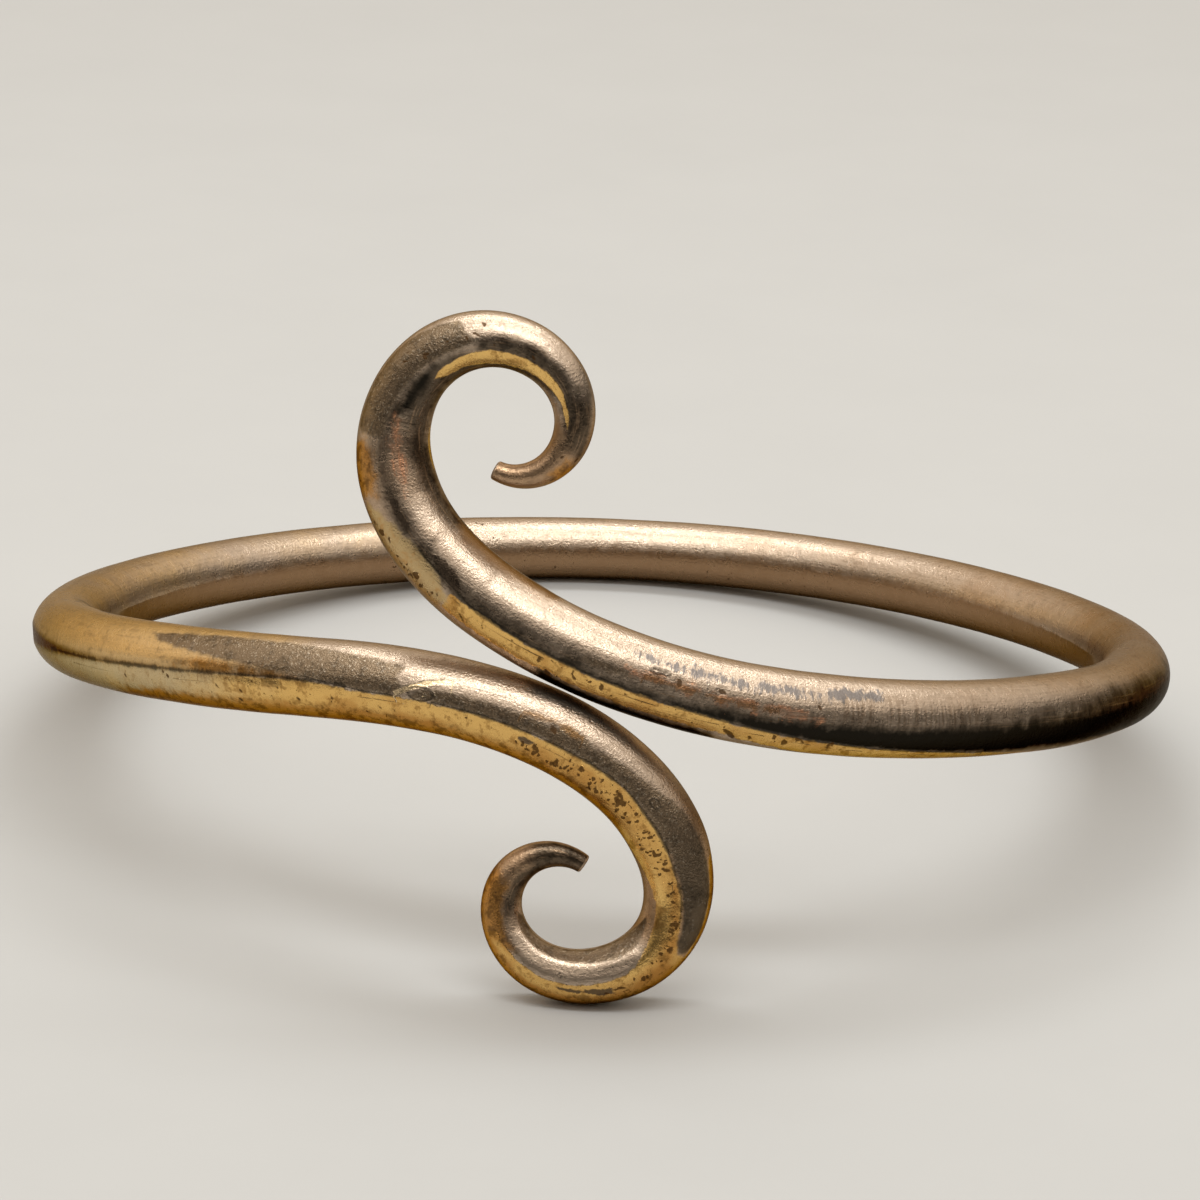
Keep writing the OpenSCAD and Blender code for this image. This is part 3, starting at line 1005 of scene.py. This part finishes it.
    def colour(self, bare):
        """The metal's colour with all its stains, among them painted dark reflections. The part of it that
        is bare shows through them.
        """
        c, stains, lines = self.colours, self.stains, self.lines
        ochre = self.blend(self.step(self.mottle, 0.5, 0.7, 0.5), c.ochre, c.amber)
        amber = self.blend(self.step(self.mottle, 0.45, 0.62), c.amber, dimmed(c.amber, 0.45))
        worn = self.level(self.step(self.streaks, 0.42, 0.56), 0.3, 0.85)
        colour = self.layered(self.satin(), (
            (stains["tarnish_and_dark_reflection"], self.tarnish_and_dark_reflection_colour()),
            (stains["dark"], c.dark),
            # Painted dark reflection
            (stains["dark_reflection"], c.dark_reflection),
            (stains["gold"], self.golden()),
            (stains["seam"], c.pit),
            (stains["ochre"], ochre),
            (stains["amber"], amber),
            (stains["oxide"], self.oxidised()),
            (self.times(stains["copper"], worn), c.copper),
            (stains["haze"], c.haze),
            (stains["char"], c.char),
            (lines["rust"], dimmed(c.amber, 0.6)),
            (self.engraved, dimmed(c.dark, 3.0)),
            (lines["vein"], c.vein),
            (self.times(self.pits, 0.85), c.pit)))
        return self.blend(bare, colour, c.gold) if bare else colour

    def over_stains(self, value, changed):
        """A value that some stains change."""
        for kind, over in changed.items():
            value = self.level(self.stains[kind], value, over)
        return value

    def roughness(self):
        """Roughness, uneven by the mottle and higher in the pits."""
        rough = self.over_stains(SATIN_ROUGHNESS, STAIN_ROUGHNESS)
        return self.summed((rough, 1.0), (self.centred(self.mottle), 0.22), (self.pits, 0.2))

    def height(self):
        """Height of the fine relief: grain, brush marks, chatter, pits, grooves and veins."""
        grain = self.over_stains(SATIN_GRAIN, STAIN_GRAIN)
        return self.summed(
            (self.grit, grain),
            (self.mottle, self.times(grain, 0.8)),
            (self.streaks, 0.6),
            (self.chatter, self.level(self.stains["chatter"], 0.15, 1.8)),
            (self.small_pits, -2.6),
            (self.engraved, -1.2),
            (self.lines["vein"], 0.8))


def bronze_material(name, colours, groups, bare):
    """Aged bronze: stains over a satin metal. The part of it that is bare shows golden through them."""
    material, n = new_material(name, BronzeNodes, colours, groups)
    bump = n.add("ShaderNodeBump", inputs={"Strength": 1.0, "Distance": 0.02 * MM, "Height": n.height()})
    metal = n.add("ShaderNodeBsdfPrincipled", inputs={
        "Base Color": n.colour(bare), "Metallic": 1.0, "Roughness": n.roughness(),
        "Normal": bump.outputs[0], "Specular Tint": colours.edge})
    n.add("ShaderNodeOutputMaterial", inputs={"Surface": metal.outputs[0]})
    return material


def floor_material(colour):
    """Plain pale floor with a faint unevenness of tone."""
    material, n = new_material("floor", Nodes)
    place = n.add("ShaderNodeTexCoord").outputs["Object"]
    lighter = [min(1.0, c) for c in dimmed(colour, 1.03)]
    shade = n.blend(n.grain(place, 60.0, 4.0, 0.6), dimmed(colour, 0.97), lighter)
    surface = n.add("ShaderNodeBsdfPrincipled", inputs={"Base Color": shade, "Roughness": 0.8})
    n.add("ShaderNodeOutputMaterial", inputs={"Surface": surface.outputs[0]})
    return material


class BANGLE_OT_rod(bpy.types.Operator):
    """Build the bent rod with its scrolls and its aged finish"""

    bl_idname = "bangle.rod"
    bl_label = "Rod"

    def execute(self, context):
        scene = context.scene
        mesh = bangle_mesh(scene.bangle_sizes)
        if mesh.validate():
            raise RuntimeError("the rod's mesh had faults")
        piece = bpy.data.objects.new("bangle_rod", mesh)
        scene.collection.objects.link(piece)
        groups = {"ragged": ragged_group(), "brushing": brushing_group(), "pitting": pitting_group()}
        for name, bare in (("bronze_skin", 0.0), ("bronze_cut", BARE_CUT)):
            mesh.materials.append(bronze_material(name, scene.bangle_colours, groups, bare))
        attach(piece, "root")
        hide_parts("bangle")
        return {"FINISHED"}


class BANGLE_OT_stage(bpy.types.Operator):
    """Build the floor, the lights and the camera"""

    bl_idname = "bangle.stage"
    bl_label = "Stage"

    def execute(self, context):
        scene = context.scene
        stage = scene.bangle_stage
        self.add_floor(scene, stage)
        self.add_lights(scene, stage)
        self.add_camera(scene, stage)
        scene.view_settings.view_transform = "Standard"
        return {"FINISHED"}

    def add_floor(self, scene, stage):
        """A plain square floor at the height that the bangle lies on."""
        half = stage.floor_side / 2
        mesh = bpy.data.meshes.new("floor")
        corners = ((-half, -half), (half, -half), (half, half), (-half, half))
        mesh.from_pydata([(x, y, cad_low[2]) for x, y in corners], [], [(0, 1, 2, 3)])
        mesh.materials.append(floor_material(stage.floor))
        floor = bpy.data.objects.new("floor", mesh)
        scene.collection.objects.link(floor)

    def add_lights(self, scene, stage):
        """Two long soft lights overhead, in a room that is dimly lit above and dark all round."""
        for name, lean in (("softbox_front", -stage.softbox_lean), ("softbox_back", stage.softbox_lean)):
            light = bpy.data.lights.new(name, "AREA")
            light.shape = "RECTANGLE"
            light.size = stage.softbox_length
            light.size_y = stage.softbox_width
            light.energy = stage.softbox_power
            light.color = stage.light
            softbox = bpy.data.objects.new(name, light)
            softbox.location = Vector((0.0, math.sin(lean), math.cos(lean))) * stage.softbox_distance
            softbox.rotation_euler = (-lean, 0.0, 0.0)
            scene.collection.objects.link(softbox)
        world = bpy.data.worlds.new("room")
        world.use_nodes = True
        world.node_tree.nodes.clear()
        n = Nodes(world.node_tree)
        lean = (0.0, math.sin(stage.sky_lean), math.cos(stage.sky_lean))
        way = n.add("ShaderNodeTexCoord").outputs["Generated"]
        height = n.vector("DOT_PRODUCT", way, lean, "Value")
        facing = n.vector("DOT_PRODUCT", way, WALL_WAY, "Value")
        walls = n.blend(n.step(facing, *WALL_FADE), stage.room, stage.wall)
        room = n.blend(n.step(height, *SKY_FADE), walls, stage.sky)
        background = n.add("ShaderNodeBackground", inputs={"Color": room})
        n.add("ShaderNodeOutputWorld", inputs={"Surface": background.outputs[0]})
        scene.world = world

    def add_camera(self, scene, stage):
        """The camera, at the angle from which the bangle is shown."""
        flat, rise = math.cos(stage.elevation), math.sin(stage.elevation)
        ahead, aside = math.cos(stage.azimuth), math.sin(stage.azimuth)
        back = Vector((aside * flat, -ahead * flat, rise))
        level = Vector((ahead, aside, 0.0))
        right, up = rotated(level, back.cross(level), stage.roll)
        data = bpy.data.cameras.new("camera")
        data.lens = stage.focal_length
        data.clip_start = 0.01
        camera = bpy.data.objects.new("camera", data)
        turned = Matrix((right, up, back)).transposed().to_4x4()
        turned.translation = Vector(stage.aim) + back * stage.distance
        camera.matrix_world = turned
        scene.collection.objects.link(camera)
        scene.camera = camera


class BANGLE_PT_panel(bpy.types.Panel):
    """The bangle's panel"""

    bl_idname = "BANGLE_PT_panel"
    bl_label = "Torque bangle"
    bl_space_type = "VIEW_3D"
    bl_region_type = "UI"
    bl_category = "Bangle"

    def draw(self, context):
        layout = self.layout
        scene = context.scene
        parts = {"Sizes": scene.bangle_sizes, "Colours": scene.bangle_colours, "Stage": scene.bangle_stage}
        for label, settings in parts.items():
            box = layout.box()
            box.label(text=label)
            for name in settings.__annotations__:
                box.prop(settings, name)
        layout.operator(BANGLE_OT_rod.bl_idname)
        layout.operator(BANGLE_OT_stage.bl_idname)


CLASSES = (BangleSizes, BangleColours, BangleStage, BANGLE_OT_rod, BANGLE_OT_stage, BANGLE_PT_panel)


def register():
    """Register the classes and hang the settings on the scene."""
    for cls in CLASSES:
        bpy.utils.register_class(cls)
    bpy.types.Scene.bangle_sizes = bpy.props.PointerProperty(type=BangleSizes)
    bpy.types.Scene.bangle_colours = bpy.props.PointerProperty(type=BangleColours)
    bpy.types.Scene.bangle_stage = bpy.props.PointerProperty(type=BangleStage)


def unregister():
    """Undo register."""
    del bpy.types.Scene.bangle_stage
    del bpy.types.Scene.bangle_colours
    del bpy.types.Scene.bangle_sizes
    for cls in reversed(CLASSES):
        bpy.utils.unregister_class(cls)


def main():
    """Build the bangle and its stage."""
    register()
    bpy.ops.bangle.rod()
    bpy.ops.bangle.stage()


if __name__ == "__main__":
    main()
